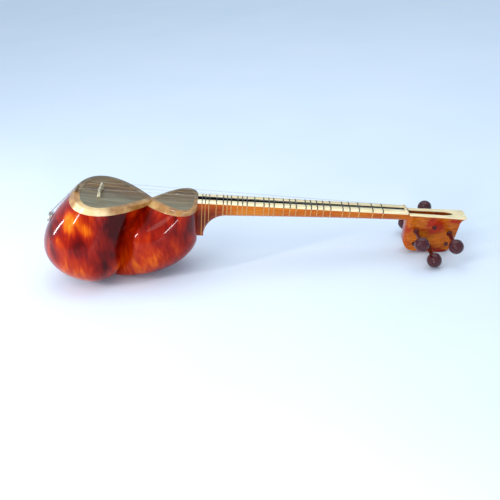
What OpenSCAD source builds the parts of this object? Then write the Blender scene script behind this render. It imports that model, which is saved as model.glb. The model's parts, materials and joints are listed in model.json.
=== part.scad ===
// Long-necked lute with a carved double bowl, two drum skins, a bone-faced neck with tied gut
// frets, a slotted pegbox and six tuning pegs. It lies on the back of its bowl and on the corner
// of its pegbox. x runs along the neck towards the pegbox, y across it, z up from the floor.
// Every part is drawn in the instrument's own frame: x = 0 at the nut, z = 0 at the top of the
// fingerboard, bowl towards -x. rest() then lays the whole instrument down.

/* [String length] */
// Vibrating length from nut to bridge
scale_length = 670; // [640:1:700]
// Height of the strings above the fingerboard at the nut
nut_string_z = 2.5; // [2.3:0.1:3]
// Height of the bridge above the skin
bridge_h = 16; // [14:0.5:20]
// Diameter the six strings are drawn at
string_d = 0.6; // [0.4:0.1:0.8]

/* [Bowl] */
// How far the skins lie below the fingerboard at the waist
face_drop = 10.5; // [10:0.5:12]
// Slope of the large skin, up towards the tail, in degrees
large_slope = 4.5; // [4:0.1:5]
// Slope of the small skin, up towards the neck, in degrees
small_slope = 1.7; // [1:0.1:2]
// Half width of the large skin
large_half_w = 89.4; // [86:0.2:92]
// Half width of the small skin
small_half_w = 62.4; // [60:0.2:64]
// Depth of the large lobe below the waist
large_depth = 194.5; // [193.5:0.5:197]
// Depth of the small lobe below the waist
small_depth = 188; // [184:1:190]
// Thickness of the carved wall
wall = 7; // [5:0.5:9]
// Width of the binding that covers the edge of the large skin
large_binding_w = 13; // [12.5:0.5:15]
// Width of the binding that covers the edge of the small skin
small_binding_w = 9; // [8:0.5:10]
// Depth of the large binding down the outside of the bowl
large_binding_drop = 10; // [8:0.5:12]
// Depth of the small binding down the outside of the bowl
small_binding_drop = 8.5; // [8:0.5:10]

/* [Neck] */
// Half width of the neck at the bowl
neck_half_w = 19.6; // [19:0.1:20.5]
// Half width of the neck at the nut
nut_half_w = 18.8; // [18:0.1:19]
// Depth of the neck below the bone strips at the nut
neck_depth_nut = 20; // [19:0.5:23]
// Depth of the neck below the bone strips where the heel begins
neck_depth_heel = 34; // [30:0.5:36]
// Thickness of the bone strips
strip_t = 5.5; // [4:0.5:5.5]
// Width of one tied fret
fret_w = 2.4; // [1.8:0.1:2.6]
// Height of one tied fret
fret_h = 0.8; // [0.6:0.1:1]

/* [Pegbox] */
// Width of the pegbox
box_w = 39; // [38:0.5:40]
// Width of the space between the pegbox walls
cavity_w = 20; // [19:0.5:21]
// Radius of the pegs' bores
bore_r = 4.5; // [4.2:0.1:4.8]
// Distance from the middle of the neck to the middle of a peg's head
head_out = 84; // [80:1:88]
// Radius of a peg's head
head_r = 16.2; // [15:0.1:16.5]
// Radius of the hanging hole
hang_r = 1.6; // [1.2:0.1:2]

/* [Hidden] */
PEGS = [1:6];
CENTS = [140, 205, 295, 360, 410, 500, 555, 605, 655, 700, 785, 840, 900, 995, 1045, 1100,
    1200, 1290, 1345, 1405, 1490, 1545, 1600, 1700, 1815, 1875, 1930];
$fn = 48;

// The slope at which the instrument lies, and where its bounding box is centred
tilt = 8;
centre_shift = 340;

// Lobes: [x nearest the neck, x furthest from it, half width, taper, whether the sharp tip is
// nearest the neck, roundness of the blunt end, slope up away from the waist] at the skin, then
// [x of the middle, length towards the tail, length towards the neck, half width, depth] at the
// belly, [x, depth] of the bottom and how far the binding comes down the wall.
waist_x = -561;
large_rim = [-555, -728.5, large_half_w, 1.13, true, 0.97, large_slope];
large_belly = [-685.5, 117.5, 76.5, 113.6, 113];
large_bottom = [-686, large_depth];
small_rim = [-459, -569, small_half_w, 1.47, false, 0.75, -small_slope];
small_belly = [-549.5, 87, 92.8, 83.4, 78.5];
small_bottom = [-673, small_depth];
large_lobe = [large_rim, large_belly, large_bottom, large_binding_drop];
small_lobe = [small_rim, small_belly, small_bottom, small_binding_drop];
rim_land = 12;
neck_block = 14;
hollow_open = 8;
rim_steps = 30;
upper_rows = 5;
lower_rows = 6;
joint_x = -460;
skin_t = 0.6;
binding_t = 0.8;
glue_gap = 0.15;
big = 1200;

// Neck and heel
neck_end_x = 4;
heel_start_x = -395;
heel_bottom_z = -94;
heel_wall_x = -446;
heel_steps = 6;
section_steps = 12;
centre_half_w_heel = 8.5;
centre_half_w_nut = 4;
gut_gap = 0.05;

// Pegbox
plate_z = -6;
plate_t = 2.5;
plate_end_x = 136;
plate_half_w = [18.5, 22.5];
slot_start_x = 8;
slot_end_x = 108;
slot_taper = 26;
slot_half_w = 9.5;
box_bottom_z = -94;
corner_r = 25;
corner = [90, box_bottom_z + corner_r];
lift = corner[0] * sin(tilt) - corner[1] * cos(tilt) + corner_r;
cavity_end_x = 112;
crown_x = cavity_end_x;
cavity_bottom_z = -88;
hang_x = 128;
peg_play = 0.05;
peg_tip = 4.5;
// Each peg: [x, z, side], side -1 has its head at -y
PEG_PLACES = [[27, -43, -1], [28, -76, 1], [67, -33, 1],
    [61, -80, -1], [102, -44, -1], [100, -72, 1]];

// Strings: across the nut, the bridge and the saddle, in the order of the pegs that hold them
NUT_Y = [-11.5, -9, -1.2, 1.2, 9, 11.5];
BRIDGE_Y = [-20.5, -17.5, -1.5, 1.5, 17.5, 20.5];
SADDLE_Y = [-9, -6.5, -1.3, 1.3, 6.5, 9];
HOLDER_Y = [-7.5, -4.5, -1.5, 1.5, 4.5, 7.5];
STRING_PEG = [4, 1, 3, 6, 2, 5];
// Which side of its peg each string runs to
STRING_UNDER = [-1, 1, 1, 1, 1, -1];
bridge_setback = 4;
bridge_x = -scale_length - bridge_setback;
bridge_t = 6;
bridge_len = 50;
bridge_top = 44;
bridge_foot = 3.5;
bridge_shoulder = 5;
arch_half = 9;
arch_r = 6.6;
saddle_x = -724.5;
saddle_h = 6;
saddle_w = 30;
saddle_t = 4;
saddle_back = 1;
nut_t = 5;
string_r = string_d / 2;
string_sides = 8;
string_gap = 0.35;
bend_x = 10;
bend_z = -6.5;
bend_in = 0.64;

// String holder: how far down the tail wall it sits, then its plate, hooks and pins
holder_s = 0.55;
holder_w = 22;
holder_h = 20;
holder_t = 2.5;
hook_r = 0.9;
hook_out = 9;
hook_up = 5;
hook_at = 7;
pin_r = 1.2;
pin_head_r = 2.4;
pin_y = 8;
pin_down = 6;
belly_run = large_rim[1] - (large_belly[0] - large_belly[1]);
tail_rise = (waist_x - large_rim[1]) * tan(large_slope);
holder_angle = atan2(belly_run * PI / 2 * cos(90 * holder_s), large_belly[4] + tail_rise);
holder_x = large_rim[1] - belly_run * sin(90 * holder_s);
holder_z = -face_drop + tail_rise * (1 - holder_s) - large_belly[4] * holder_s;

function mix(a, b, t) = a + (b - a) * t;
function arc(cx, cy, r, a0, a1, n) =
    [for (i = [0:n]) let (a = mix(a0, a1, i / n)) [cx + r * cos(a), cy + r * sin(a)]];

// Outline of a skin at angle t from its sharp tip; the other end is round
function drop_y(rim, t) = pow(max(0, sin(t)), rim[5]) * pow(sin(t / 2), rim[3]);
function drop_peak(rim) = max([for (t = [90:1:140]) drop_y(rim, t)]);
function rim_x(rim, t) = mix(rim[1], rim[0], (1 + cos(t)) / 2);
function from_tip(rim, t) = rim[4] ? min(t, 360 - t) : abs(180 - t);
function rim_y(rim, t) = rim[2] * drop_y(rim, from_tip(rim, t)) / drop_peak(rim) * (t > 180 ? -1 : 1);
function belly_x(belly, t) = belly[0] + belly[cos(t) > 0 ? 2 : 1] * cos(t);
// Height of a lobe's flat face over the waist
function rise(rim, x) = (waist_x - x) * tan(rim[6]);
function skin_top(x) = -face_drop + rise(large_rim, x) + skin_t;

// One ring of a lobe: k = 0 at the skin, 1 at the belly; side is how far it is moved outwards
function upper_ring(rim, belly, k, grow) = [for (i = [0:2 * rim_steps - 1])
    let (t = (i + 0.5) * 180 / rim_steps, s = sin(90 * k),
         x = mix(rim_x(rim, t), belly_x(belly, t), s),
         y = mix(rim_y(rim, t), belly[3] * sin(t), s))
    [x + grow * cos(t), y + grow * sin(t), -belly[4] * k + rise(rim, rim_x(rim, t)) * (1 - k)]];
function lower_ring(belly, bottom, a) = [for (i = [0:2 * rim_steps - 1])
    let (t = (i + 0.5) * 180 / rim_steps, c = cos(a))
    [mix(bottom[0], belly_x(belly, t), c), belly[3] * sin(t) * c, -mix(belly[4], bottom[1], sin(a))]];
function raised(ring, dz) = [for (p = ring) [p[0], p[1], p[2] + dz]];

// A closed solid through rings of equal length, with a point at the middle of each end
module loft(rings, first_mid, last_mid) {
    n = len(rings[0]);
    m = len(rings);
    points = concat([first_mid, last_mid], [for (r = rings) for (p = r) p]);
    sides = [for (j = [0:m - 2]) for (i = [0:n - 1])
        let (a = 2 + j * n + i, b = 2 + j * n + (i + 1) % n) each [[a, b, a + n], [b, b + n, a + n]]];
    ends = [for (i = [0:n - 1])
        let (a = 2 + i, b = 2 + (i + 1) % n, c = 2 + (m - 1) * n + i, d = 2 + (m - 1) * n + (i + 1) % n)
        each [[0, b, a], [1, c, d]]];
    polyhedron(points = points, faces = concat(sides, ends), convexity = 6);
}

// Middle of a rim, where the flat top of a lobe meets
function rim_mid(rim) = let (x = mix(rim[0], rim[1], rim[4] ? 0.6 : 0.4)) [x, 0, rise(rim, x)];

// The outside of a lobe, or its hollow, which is raised to open the top
module lobe(parts, top) {
    rim = parts[0];
    belly = parts[1];
    bottom = parts[2];
    rings = concat(
        [raised(upper_ring(rim, belly, 0, 0), top), upper_ring(rim, belly, parts[3] / belly[4], 0)],
        [for (j = [1:upper_rows - 1]) upper_ring(rim, belly, j / upper_rows, 0)],
        [for (j = [0:lower_rows - 1]) lower_ring(belly, bottom, 90 * j / lower_rows)]);
    loft(rings, rim_mid(rim) + [0, 0, top], [bottom[0], 0, -bottom[1]]);
}

function thin_rim(rim, by) = [rim[0] - (rim[4] ? 2 : 1) * by, rim[1] + (rim[4] ? 1 : 2) * by,
    rim[2] - by, rim[3], rim[4], rim[5], rim[6]];
function thin_belly(belly, by, neck_end) =
    [belly[0], belly[1] - by, belly[2] - neck_end, belly[3] - by, belly[4]];
function thin_lobe(parts, neck_end) = [thin_rim(parts[0], rim_land),
    thin_belly(parts[1], wall, neck_end), parts[2] - [0, wall], parts[3]];

module lobes() {
    lobe(large_lobe, 0);
    lobe(small_lobe, 0);
}

module hollow() {
    lobe(thin_lobe(large_lobe, wall), hollow_open);
    lobe(thin_lobe(small_lobe, neck_block), hollow_open);
}

// Lays a part down: the face slopes and the lowest corner of the pegbox touches the floor
module rest() translate([centre_shift, 0, lift]) rotate([0, tilt, 0]) children();

module half_space(side) translate([-big, side > 0 ? 0 : -big, -big]) cube([2 * big, big, 2 * big]);
module before(x) translate([x - big, -big / 2, -big / 2]) cube([big, big, big]);

module bowl_half(side) {
    color("firebrick") resize([0, 0, 0]) intersection() {
        rest() intersection() {
            difference() {
                translate([0, 0, -face_drop]) lobes();
                translate([0, 0, -face_drop]) hollow();
            }
            half_space(side);
            before(joint_x);
        }
        translate([-big, -big, 0]) cube(2 * big);
    }
}
module bowl_left() bowl_half(1);
module bowl_right() bowl_half(-1);

module skin_plate(rim) {
    ring = upper_ring(rim, large_belly, 0, 0);
    loft([raised(ring, skin_t), ring], rim_mid(rim) + [0, 0, skin_t], rim_mid(rim));
}
module large_span() intersection() {
    children();
    before(waist_x - 0.3);
}
module small_span() intersection() {
    children();
    translate([waist_x + 0.3, -big / 2, -big / 2]) cube([joint_x - waist_x - 0.3, big, big]);
}
module large_skin() {
    color("tan") resize([0, 0, 0]) rest() translate([0, 0, -face_drop]) large_span() skin_plate(large_rim);
}
module small_skin() {
    color("tan") resize([0, 0, 0]) rest() translate([0, 0, -face_drop]) small_span() skin_plate(small_rim);
}

// Binding: a thin strip glued over the edge of the skin and a little way down the bowl
module binding_strip(parts, width) {
    rim = parts[0];
    belly = parts[1];
    over = skin_t + binding_t;
    inner = upper_ring(thin_rim(rim, width), belly, 0, 0);
    low = parts[3] / belly[4];
    rings = [raised(inner, over), raised(upper_ring(rim, belly, 0, binding_t), over),
        upper_ring(rim, belly, low, binding_t), upper_ring(rim, belly, low, glue_gap),
        raised(upper_ring(rim, belly, 0, glue_gap), skin_t + glue_gap), raised(inner, skin_t + glue_gap)];
    n = 2 * rim_steps;
    m = len(rings);
    polyhedron(points = [for (r = rings) for (p = r) p], convexity = 6,
        faces = [for (j = [0:m - 1]) for (i = [0:n - 1])
            let (a = j * n + i, b = j * n + (i + 1) % n, c = (j + 1) % m * n + i, d = (j + 1) % m * n + (i + 1) % n)
            each [[a, b, c], [b, d, c]]]);
}
module large_binding() {
    color("wheat") resize([0, 0, 0]) rest() translate([0, 0, -face_drop])
        large_span() difference() {
            binding_strip(large_lobe, large_binding_w);
            lobe(small_lobe, 0);
        }
}
module small_binding() {
    color("wheat") resize([0, 0, 0]) rest() translate([0, 0, -face_drop])
        small_span() difference() {
            binding_strip(small_lobe, small_binding_w);
            lobe(large_lobe, 0);
        }
}

// Sets a part on the bowl's tail wall, where the string holder is fixed
module on_tail() translate([holder_x, 0, holder_z]) rotate([0, holder_angle - 90, 0]) children();

module string_holder() {
    color("silver") rest() on_tail() {
        difference() {
            translate([-holder_h / 2, -holder_w / 2, glue_gap]) cube([holder_h, holder_w, holder_t]);
            for (s = [-1, 1]) translate([-pin_down, s * pin_y, -1]) cylinder(r = pin_r, h = 2 * holder_t);
        }
        for (y = HOLDER_Y) translate([hook_up, y, holder_t]) cylinder(r = hook_r, h = hook_out - holder_t);
    }
}
module holder_pins() {
    color("goldenrod") rest() on_tail() for (s = [-1, 1]) translate([-pin_down, s * pin_y, glue_gap])
        rotate_extrude() polygon(concat([[0, 0], [pin_r, 0], [pin_r, holder_t], [pin_head_r, holder_t]],
            arc(0, holder_t, pin_head_r, 0, 90, 6)));
}

// A low curved strip of bone on the edge of the tail, which the strings cross
module tail_saddle() {
    color("ivory") rest() translate([saddle_x, 0, skin_top(saddle_x) + binding_t]) rotate([0, large_slope, 0])
        translate([0, saddle_w / 2, 0]) rotate([90, 0, 0]) linear_extrude(saddle_w)
            polygon(concat([[-saddle_t / 2, 0], [saddle_t / 2, 0]],
                arc(0, saddle_h - saddle_t / 2, saddle_t / 2, 0, 180, 12)));
}

// Bridge: two feet, an arch between them and a flat top, standing square on the skin
module bridge() {
    half = bridge_len / 2;
    top = bridge_top / 2;
    color("burlywood") rest() translate([bridge_x, 0, skin_top(bridge_x)]) rotate([0, large_slope, 0])
        translate([-bridge_t / 2, 0, 0]) rotate([90, 0, 90]) linear_extrude(bridge_t) difference() {
            polygon([[-half, 0], [half, 0], [half, bridge_foot], [top + 1, bridge_h - bridge_shoulder],
                [top, bridge_h], [-top, bridge_h], [-top - 1, bridge_h - bridge_shoulder],
                [-half, bridge_foot]]);
            for (s = [-1, 1]) translate([s * arch_half, 0]) circle(r = arch_r);
            translate([-arch_half, -1]) square([2 * arch_half, arch_r + 1]);
        }
}

function neck_w(x) = mix(nut_half_w, neck_half_w, min(1, max(0, -x / 450)));
function heel_t(x) = (heel_start_x - x) / (heel_start_x - heel_wall_x);
heel_top_z = -strip_t - neck_depth_heel;
function neck_bottom(x) = x >= heel_start_x
    ? -strip_t - mix(neck_depth_nut, neck_depth_heel, pow(max(0, -x / -heel_start_x), 1.3))
    : x <= heel_wall_x ? heel_bottom_z
    : mix(heel_bottom_z, heel_top_z, sqrt(1 - pow(heel_t(x), 2)));
function neck_section(x, bottom, grow) = [for (i = [0:section_steps]) let (a = -180 * i / section_steps)
    [(neck_w(x) + grow) * cos(a), -strip_t + (-strip_t - bottom + grow) * sin(a)]];
neck_stations = concat([joint_x],
    [for (i = [heel_steps:-1:0]) heel_start_x - (heel_start_x - heel_wall_x) * sin(90 * i / heel_steps)],
    [-335, -270, -200, -130, -60, neck_end_x]);
neck_line = [for (x = neck_stations) [x, neck_bottom(x)]];
module neck() {
    color("chocolate") rest() loft(
        [for (x = neck_stations) [for (p = neck_section(x, neck_bottom(x), 0)) [x, p[0], p[1]]]],
        [joint_x, 0, -strip_t - 40], [neck_end_x, 0, -strip_t - 8]);
}

// A strip along the top of the neck between two edges, each given at the bowl and at the nut
module strip(edge_bowl, edge_nut, t) {
    translate([0, 0, -t]) linear_extrude(t)
        polygon([[joint_x, edge_bowl[0]], [neck_end_x, edge_nut[0]],
            [neck_end_x, edge_nut[1]], [joint_x, edge_bowl[1]]]);
}
module bone_strip(side) {
    color("ivory") rest() strip([side * centre_half_w_heel, side * neck_half_w],
        [side * centre_half_w_nut, side * nut_half_w], strip_t);
}
module bone_strip_left() bone_strip(1);
module bone_strip_right() bone_strip(-1);
module centre_strip() {
    color("black") rest() strip([-centre_half_w_heel, centre_half_w_heel],
        [-centre_half_w_nut, centre_half_w_nut], strip_t);
}

// Nut: a bar of bone across the neck with a rounded top
module nut() {
    h = nut_string_z - string_r - 0.05;
    color("ivory") rest() translate([0, nut_half_w - 0.3, 0]) rotate([90, 0, 0])
        linear_extrude(2 * nut_half_w - 0.6) polygon(concat([[-nut_t / 2, 0], [nut_t / 2, 0]],
            arc(nut_t / 2 - 1, h - 1, 1, 0, 90, 5), arc(1 - nut_t / 2, h - 1, 1, 90, 180, 5)));
}

// Side view of the pegbox: rounded lower corners and a hollow flare under the end of the plate
function box_outline() = concat([[neck_end_x, plate_z - plate_t]],
    arc(neck_end_x + 24, box_bottom_z + 24, 24, 180, 270, 8),
    arc(corner[0], corner[1], corner_r, 270, 352, 10),
    arc(137, plate_z - plate_t - 16, 15, 183, 96, 8),
    [[plate_end_x, plate_z - plate_t]]);
module box_block() {
    difference() {
        translate([0, box_w / 2, 0]) rotate([90, 0, 0]) linear_extrude(box_w) polygon(box_outline());
        translate([0, cavity_w / 2, 0]) rotate([90, 0, 0]) linear_extrude(cavity_w)
            polygon([[slot_start_x, 0], [slot_start_x, -74], [22, cavity_bottom_z],
                [92, cavity_bottom_z], [106, -72], [cavity_end_x, -30], [cavity_end_x, 0]]);
        for (p = PEG_PLACES) translate([p[0], 0, p[1]]) rotate([90, 0, 0])
            cylinder(r = bore_r, h = box_w + 4, center = true);
        translate([hang_x, 0, -40]) cylinder(r = hang_r, h = 60);
    }
}
module pegbox() {
    color("darkorange") rest() intersection() {
        box_block();
        before(crown_x);
    }
}
module pegbox_crown() {
    color("darkorange") rest() difference() {
        box_block();
        before(crown_x);
    }
}

// Bone plates over the pegbox: a long one with the slot and a short one on the crown
module bone_face() {
    a = plate_half_w[0];
    b = plate_half_w[1];
    translate([0, 0, plate_z - plate_t]) difference() {
        linear_extrude(plate_t) polygon(concat([[neck_end_x, -a]],
            arc(plate_end_x - 6, 6 - b, 6, -85, 0, 6), arc(plate_end_x - 6, b - 6, 6, 0, 85, 6),
            [[neck_end_x, a]]));
        translate([0, 0, -1]) linear_extrude(plate_t + 2) polygon(concat(
            [[slot_start_x, slot_half_w - 1.5], [slot_start_x, 1.5 - slot_half_w]],
            [for (a = [-90:15:90]) [slot_end_x - slot_taper * (1 - cos(a)), slot_half_w * sin(a)]]));
        translate([hang_x, 0, -1]) cylinder(r = hang_r, h = plate_t + 2);
    }
}

module head_plate() {
    color("ivory") rest() intersection() {
        bone_face();
        before(crown_x);
    }
}
module crown_plate() {
    color("ivory") rest() difference() {
        bone_face();
        before(crown_x);
    }
}

// Tuning peg, turned about its own axis: shaft, collar and a ball head with a boss
function peg_profile() = concat(
    [[0, -box_w / 2 - peg_tip], [2.6, -box_w / 2 - peg_tip], [bore_r - peg_play, 1.5 - box_w / 2 - peg_tip],
     [bore_r - peg_play, box_w / 2 + 0.6], [6, box_w / 2 + 2], [6.6, box_w / 2 + 5],
     [4.8, box_w / 2 + 7.5], [4.4, head_out - 24], [5.6, head_out - 20], [9, head_out - 17.5],
     [9, head_out - 15.5], [7.2, head_out - 14]],
    arc(0, head_out, head_r, -58, -12, 8), [[head_r - 0.8, head_out - 2]],
    arc(0, head_out, head_r, 0, 50, 8), [[6.4, head_out + 13], [6, head_out + 14.4]],
    [[3, head_out + 15.4], [0, head_out + 15.6]]);
module peg(i) {
    p = PEG_PLACES[i - 1];
    color("maroon") rest() translate([p[0], 0, p[1]]) rotate([p[2] > 0 ? -90 : 90, 0, 0])
        rotate_extrude() polygon(peg_profile());
}

// One string: a thin tube over saddle, bridge and nut, then down to the side of its peg
function unit(v) = v / norm(v);
function tube_ring(pts, i) = let (
        before_it = unit(pts[max(i, 1)] - pts[max(i, 1) - 1]),
        after_it = unit(pts[min(i + 1, len(pts) - 1)] - pts[min(i, len(pts) - 2)]),
        along = unit(before_it + after_it),
        across = unit(cross([0, 1, 0], along)),
        up = cross(along, across))
    [for (k = [0:string_sides - 1]) let (a = -360 * k / string_sides)
        pts[i] + string_r * (cos(a) * across + sin(a) * up)];
function tail_point(u, y, out) = [holder_x, y, holder_z]
    + u * [sin(holder_angle), 0, cos(holder_angle)] + out * [-cos(holder_angle), 0, sin(holder_angle)];
function string_points(i) = let (p = PEG_PLACES[STRING_PEG[i - 1] - 1], bend = [bend_x, NUT_Y[i - 1] * bend_in, bend_z],
        dx = p[0] - bend_x, dz = p[1] - bend_z, far = norm([dx, dz]), r = bore_r + string_r + 0.4,
        side = STRING_UNDER[i - 1], swing = side * asin(r / far), reach = sqrt(far * far - r * r),
        a = atan2(dz, dx) - swing)
    [tail_point(hook_up + hook_r + 0.4, HOLDER_Y[i - 1], hook_at),
     [saddle_x - saddle_back, SADDLE_Y[i - 1],
         skin_top(saddle_x) + binding_t + saddle_h + string_r + string_gap],
     [bridge_x + bridge_h * sin(large_slope), BRIDGE_Y[i - 1],
         skin_top(bridge_x) + bridge_h + string_r + string_gap],
     [0, NUT_Y[i - 1], nut_string_z],
     [nut_t / 2 - 0.6, NUT_Y[i - 1] * 0.97, nut_string_z],
     bend,
     [bend_x + reach * cos(a), NUT_Y[i - 1] * bend_in, bend_z + reach * sin(a)]];
module string(i) {
    pts = string_points(i);
    color("lightgray") rest() loft([for (j = [0:len(pts) - 1]) tube_ring(pts, j)], pts[0], pts[len(pts) - 1]);
}

// One tied fret: a band of gut all round the neck
function fret_x(i) = -scale_length * (1 - pow(2, -CENTS[i - 1] / 1200));
function fret_loop(x, grow) = concat([[neck_w(x) + grow, grow]],
    neck_section(x, lookup(x, neck_line), grow), [[-neck_w(x) - grow, grow]]);
module fret(i) {
    x = fret_x(i);
    color("khaki") rest() translate([x - fret_w / 2, 0, 0]) rotate([90, 0, 90]) linear_extrude(fret_w)
        difference() {
            polygon(fret_loop(x - fret_w / 2, gut_gap + fret_h));
            polygon(fret_loop(x - fret_w / 2, gut_gap));
        }
}

bowl_left();
bowl_right();
large_skin();
small_skin();
large_binding();
small_binding();
string_holder();
holder_pins();
tail_saddle();
bridge();
neck();
bone_strip_left();
bone_strip_right();
centre_strip();
nut();
pegbox();
pegbox_crown();
head_plate();
crown_plate();
for (i = PEGS) peg(i);
for (i = PEGS) string(i);
for (i = [1:len(CENTS)]) fret(i);
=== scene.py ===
"""Looks of a long-necked lute with a carved double bowl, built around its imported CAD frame.

Shapes are worked out in the instrument's own frame, in millimetres: x = 0 at the nut and -x towards
the bowl, y across, z = 0 at the top of the fingerboard. REST lays them down in the row frame.
"""
import json
import math

import bmesh
import bpy
from mathutils import Matrix, Vector


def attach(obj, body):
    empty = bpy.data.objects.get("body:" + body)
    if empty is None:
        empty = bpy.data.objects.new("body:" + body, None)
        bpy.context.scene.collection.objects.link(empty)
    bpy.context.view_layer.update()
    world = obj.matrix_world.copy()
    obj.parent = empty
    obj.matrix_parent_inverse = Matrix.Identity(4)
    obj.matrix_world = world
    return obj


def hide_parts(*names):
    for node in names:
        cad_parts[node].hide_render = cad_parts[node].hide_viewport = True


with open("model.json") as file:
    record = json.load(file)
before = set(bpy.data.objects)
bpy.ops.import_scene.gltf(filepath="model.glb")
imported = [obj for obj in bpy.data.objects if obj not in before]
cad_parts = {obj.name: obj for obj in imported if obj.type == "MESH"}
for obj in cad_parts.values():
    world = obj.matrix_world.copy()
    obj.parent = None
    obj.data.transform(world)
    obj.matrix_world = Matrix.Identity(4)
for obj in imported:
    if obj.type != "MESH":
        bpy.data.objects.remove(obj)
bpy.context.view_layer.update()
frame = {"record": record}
RECORD = frame["record"]

# -------------------------------- the instrument's own frame
MM = 0.001
ROOT = "instrument"
HOLE = next(m for m in RECORD["mounts"] if m["name"] == "hanging_hole")
HOLE_AT = Vector((128, 0, -10))
TILT = math.atan2(HOLE["axis"][0], HOLE["axis"][2])
TURN = Matrix.Rotation(TILT, 4, "Y")
REST = (Matrix.Translation(Vector(HOLE["pos_m"]) - (TURN @ HOLE_AT) * MM) @ TURN
        @ Matrix.Scale(MM, 4))
UNREST = REST.inverted()
ALONG = REST.to_3x3() @ Vector((1, 0, 0))

# -------------------------------- sizes shared by several pieces
STRING_LENGTH = 670.0  # what the frets' places are worked out from
FACE = -10.5  # z of the lobes' flat faces at the waist
WAIST_X = -561.0
JOINT_X = -460.0  # where the neck meets the bowl
SKIN_T = 0.6
BINDING_T = 0.8
STRIP_T = 5.5  # the bone and black strips on the neck
INSIDE = 0.8  # the round of each lobe keeps this far inside the CAD's
RIM_LAND, RECESS = 10.0, 6.0  # ledge under a skin: its width, and its height over the hollow
GAP = 0.02  # between pieces that lie on each other
# Rims run from `near` to `far` as seen from the neck. A pointed rim has its sharp tip at the neck
# end. The slope is in degrees, and both faces rise away from the waist.
LARGE = {
    "rim": {"near": -555.0, "far": -728.5, "half": 89.4, "taper": 1.13, "pointed": True,
            "fullness": 0.97, "slope": 4.5},
    "belly": {"x": -685.5, "to_tail": 117.5, "to_neck": 76.5, "half": 113.6, "depth": 113.0},
    "bottom": {"x": -686.0, "depth": 194.5},
    "strip": {"width": 13.0, "drop": 10.0},
}
SMALL = {
    "rim": {"near": -459.0, "far": -569.0, "half": 62.4, "taper": 1.47, "pointed": False,
            "fullness": 0.75, "slope": -1.7},
    "belly": {"x": -549.5, "to_tail": 87.0, "to_neck": 92.8, "half": 83.4, "depth": 78.5},
    "bottom": {"x": -673.0, "depth": 188.0},
    "strip": {"width": 9.0, "drop": 8.5},
}
BRIDGE_X, BRIDGE_H = -674.0, 16.0
SADDLE_X, SADDLE_H = -724.5, 6.0
FRET_CENTS = [140, 205, 295, 360, 410, 500, 555, 605, 655, 700, 785, 840, 900, 995, 1045, 1100,
              1200, 1290, 1345, 1405, 1490, 1545, 1600, 1700, 1815, 1875, 1930]
# One value for each string: its y at the nut, bridge, saddle and holder, its peg, and the side
# of the peg that it runs on to
NUT_Y = [-11.5, -9, -1.2, 1.2, 9, 11.5]
BRIDGE_Y = [-20.5, -17.5, -1.5, 1.5, 17.5, 20.5]
SADDLE_Y = [-9, -6.5, -1.3, 1.3, 6.5, 9]
HOLDER_Y = [-7.5, -4.5, -1.5, 1.5, 4.5, 7.5]
STRING_PEG = [4, 1, 3, 6, 2, 5]
STRING_SIDE = [-1, 1, 1, 1, 1, -1]
BRASS_STRINGS = {3, 4, 6}


def mix(a, b, t):
    return a + (b - a) * t


def arc(cx, cy, r, a0, a1, n):
    """n + 1 points of an arc from a0 to a1 degrees."""
    angles = [math.radians(mix(a0, a1, i / n)) for i in range(n + 1)]
    return [(cx + r * math.cos(a), cy + r * math.sin(a)) for a in angles]


# -------------------------------- mesh helpers
def shade_smooth(mesh, sharp=35):
    """Smooth shading that breaks at edges sharper than `sharp` degrees."""
    mesh.polygons.foreach_set("use_smooth", [True] * len(mesh.polygons))
    mesh.set_sharp_from_angle(angle=math.radians(sharp))


def make(name, verts, faces, material, body=ROOT, placed=REST, sharp=35):
    """A mesh object from points in the instrument's frame, set down in the row frame."""
    mesh = bpy.data.meshes.new(name)
    mesh.from_pydata([placed @ Vector(v) for v in verts], [], faces)
    bm = bmesh.new()
    bm.from_mesh(mesh)
    bmesh.ops.recalc_face_normals(bm, faces=bm.faces)
    bm.to_mesh(mesh)
    bm.free()
    shade_smooth(mesh, sharp)
    mesh.validate()
    obj = bpy.data.objects.new(name, mesh)
    bpy.context.scene.collection.objects.link(obj)
    obj.data.materials.append(material)
    if body:
        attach(obj, body)
    return obj


def stands_for(obj, slot, *nodes):
    if nodes:
        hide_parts(*nodes)


def add_part(verts, faces, part):
    """Adds the points and faces of `part` to a mesh in the making."""
    start = len(verts)
    verts += part[0]
    faces += [tuple(v + start for v in face) for face in part[1]]


def tube_faces(rows, count, closed_rows=False, cap=True):
    """Faces of a grid of `rows` rings with `count` points each."""
    faces = []
    for j in range(rows if closed_rows else rows - 1):
        k = (j + 1) % rows
        for i in range(count):
            m = (i + 1) % count
            faces.append((j * count + i, j * count + m, k * count + m, k * count + i))
    if cap and not closed_rows:
        faces.append(tuple(range(count)))
        faces.append(tuple(range((rows - 1) * count, rows * count)))
    return faces


def sweep(points, radius, sides=10, closed=False, radii=None):
    """Rings of a round tube along points, with a frame carried from one point to the next."""
    pts = [Vector(p) for p in points]
    n = len(pts)
    rings = []
    side = None
    for i, p in enumerate(pts):
        if closed:
            along = (pts[(i + 1) % n] - pts[i - 1]).normalized()
        else:
            along = (pts[min(i + 1, n - 1)] - pts[max(i - 1, 0)]).normalized()
        if side is None:
            side = along.cross(Vector((0, 0, 1)))
            if side.length < 0.1:
                side = along.cross(Vector((0, 1, 0)))
        side = (side - along * side.dot(along)).normalized()
        up = along.cross(side)
        r = radii[i] if radii else radius
        for k in range(sides):
            a = math.tau * k / sides
            rings.append(p + (side * math.cos(a) + up * math.sin(a)) * r)
    return rings, tube_faces(n, sides, closed_rows=closed)


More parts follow.
